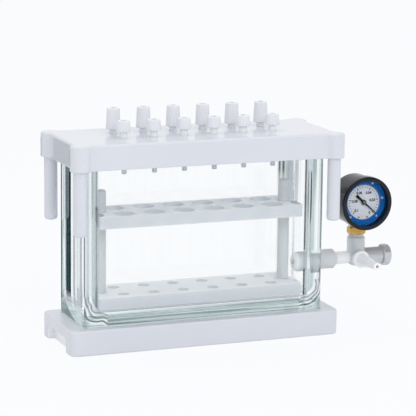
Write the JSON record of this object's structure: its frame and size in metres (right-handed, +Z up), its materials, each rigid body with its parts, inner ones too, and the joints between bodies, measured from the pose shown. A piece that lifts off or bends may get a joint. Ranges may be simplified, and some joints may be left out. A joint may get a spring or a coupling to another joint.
{
  "type": "solid phase extraction unit",
  "caption": "Vacuum manifold with a glass tank on a plinth, a lift-off lid with valve knobs, a tube rack inside and a side tee with a gauge, hose nozzle and bleed valve.",
  "frame": {"origin": "centre of the plinth's underside", "axes": "+X to the right along the two rows of ports, towards the gauge; +Y to the back; +Z up"},
  "size_m": [0.2876, 0.0906, 0.1846],
  "materials": {
    "white_plastic": "satin white polypropylene",
    "valve_plastic": "smooth white moulded plastic",
    "rack_plastic": "satin white polypropylene sheet",
    "tank_glass": "thick pressed glass with a green cast",
    "bush_rubber": "milky translucent silicone",
    "tee_plastic": "milky translucent polypropylene",
    "nozzle_plastic": "white moulded plastic",
    "gauge_brass": "turned brass",
    "gauge_black": "semi-gloss black enamel",
    "gauge_window": "clear window",
    "dial_paint": "printed dial, blue round white",
    "needle_paint": "matt black",
    "seal_rubber": "grey silicone",
    "tip_plastic": "translucent plastic"
  },
  "bodies": {
    "stand": {"base_plinth": "white_plastic", "glass_tank": "tank_glass", "port_bush": "bush_rubber", "tee_body": "tee_plastic", "hose_nozzle": "nozzle_plastic", "gauge_socket": "gauge_brass", "gauge_case": "gauge_black", "gauge_bezel": "gauge_black", "gauge_lens": "gauge_window", "gauge_dial": "dial_paint", "bourdon_tube": "gauge_brass", "gauge_movement": "gauge_brass"},
    "lid": {"lid_plate": "white_plastic", "lid_gasket": "seal_rubber", "leg_front_left": "white_plastic", "leg_front_right": "white_plastic", "leg_back_left": "white_plastic", "leg_back_right": "white_plastic", "stem_seals": "seal_rubber", "outlet_tips": "tip_plastic", "valve_stem_01": "valve_plastic", "valve_stem_02": "valve_plastic", "valve_stem_03": "valve_plastic", "valve_stem_04": "valve_plastic", "valve_stem_05": "valve_plastic", "valve_stem_06": "valve_plastic", "valve_stem_07": "valve_plastic", "valve_stem_08": "valve_plastic", "valve_stem_09": "valve_plastic", "valve_stem_10": "valve_plastic", "valve_stem_11": "valve_plastic", "valve_stem_12": "valve_plastic"},
    "rack": {"rack_upper_plate": "rack_plastic", "rack_lower_plate": "rack_plastic", "rack_post_left": "rack_plastic", "rack_post_right": "rack_plastic"},
    "needle": {"gauge_needle": "needle_paint", "needle_spindle": "gauge_brass"},
    "bleed_valve": {"bleed_knob": "tee_plastic", "bleed_screw": "tee_plastic"},
    "knob_01": {"valve_knob_01": "valve_plastic"},
    "knob_02": {"valve_knob_02": "valve_plastic"},
    "knob_03": {"valve_knob_03": "valve_plastic"},
    "knob_04": {"valve_knob_04": "valve_plastic"},
    "knob_05": {"valve_knob_05": "valve_plastic"},
    "knob_06": {"valve_knob_06": "valve_plastic"},
    "knob_07": {"valve_knob_07": "valve_plastic"},
    "knob_08": {"valve_knob_08": "valve_plastic"},
    "knob_09": {"valve_knob_09": "valve_plastic"},
    "knob_10": {"valve_knob_10": "valve_plastic"},
    "knob_11": {"valve_knob_11": "valve_plastic"},
    "knob_12": {"valve_knob_12": "valve_plastic"}
  },
  "joints": [
    {"name": "lid_lift", "type": "slide", "parent": "stand", "child": "lid", "axis": [0, 0, 1], "range_m": [0, 0.06]},
    {"name": "rack_lift", "type": "slide", "parent": "stand", "child": "rack", "axis": [0, 0, 1], "range_m": [0, 0.02]},
    {"name": "needle_swing", "type": "hinge", "parent": "stand", "child": "needle", "pos_m": [0.1445, -0.0129, 0.1016], "axis": [0, -1, 0], "range_deg": [0, 266], "stiffness_Nm_per_rad": 0.00001},
    {"name": "bleed_turn", "type": "hinge", "parent": "stand", "child": "bleed_valve", "pos_m": [0.172, 0, 0.0538], "axis": [1, 0, 0], "range_deg": [0, 540]},
    {"name": "knob_turn_01", "type": "hinge", "parent": "lid", "child": "knob_01", "pos_m": [-0.0625, 0.012, 0.168], "axis": [0, 0, 1], "range_deg": [0, 90]},
    {"name": "knob_turn_02", "type": "hinge", "parent": "lid", "child": "knob_02", "pos_m": [-0.0375, 0.012, 0.168], "axis": [0, 0, 1], "range_deg": [0, 90]},
    {"name": "knob_turn_03", "type": "hinge", "parent": "lid", "child": "knob_03", "pos_m": [-0.0125, 0.012, 0.168], "axis": [0, 0, 1], "range_deg": [0, 90]},
    {"name": "knob_turn_04", "type": "hinge", "parent": "lid", "child": "knob_04", "pos_m": [0.0125, 0.012, 0.168], "axis": [0, 0, 1], "range_deg": [0, 90]},
    {"name": "knob_turn_05", "type": "hinge", "parent": "lid", "child": "knob_05", "pos_m": [0.0375, 0.012, 0.168], "axis": [0, 0, 1], "range_deg": [0, 90]},
    {"name": "knob_turn_06", "type": "hinge", "parent": "lid", "child": "knob_06", "pos_m": [0.0625, 0.012, 0.168], "axis": [0, 0, 1], "range_deg": [0, 90]},
    {"name": "knob_turn_07", "type": "hinge", "parent": "lid", "child": "knob_07", "pos_m": [-0.0625, -0.012, 0.1694], "axis": [0, 0, 1], "range_deg": [0, 90]},
    {"name": "knob_turn_08", "type": "hinge", "parent": "lid", "child": "knob_08", "pos_m": [-0.0375, -0.012, 0.1694], "axis": [0, 0, 1], "range_deg": [0, 90]},
    {"name": "knob_turn_09", "type": "hinge", "parent": "lid", "child": "knob_09", "pos_m": [-0.0125, -0.012, 0.1694], "axis": [0, 0, 1], "range_deg": [0, 90]},
    {"name": "knob_turn_10", "type": "hinge", "parent": "lid", "child": "knob_10", "pos_m": [0.0125, -0.012, 0.1694], "axis": [0, 0, 1], "range_deg": [0, 90]},
    {"name": "knob_turn_11", "type": "hinge", "parent": "lid", "child": "knob_11", "pos_m": [0.0375, -0.012, 0.1694], "axis": [0, 0, 1], "range_deg": [0, 90]},
    {"name": "knob_turn_12", "type": "hinge", "parent": "lid", "child": "knob_12", "pos_m": [0.0625, -0.012, 0.1694], "axis": [0, 0, 1], "range_deg": [0, 90]}
  ]
}
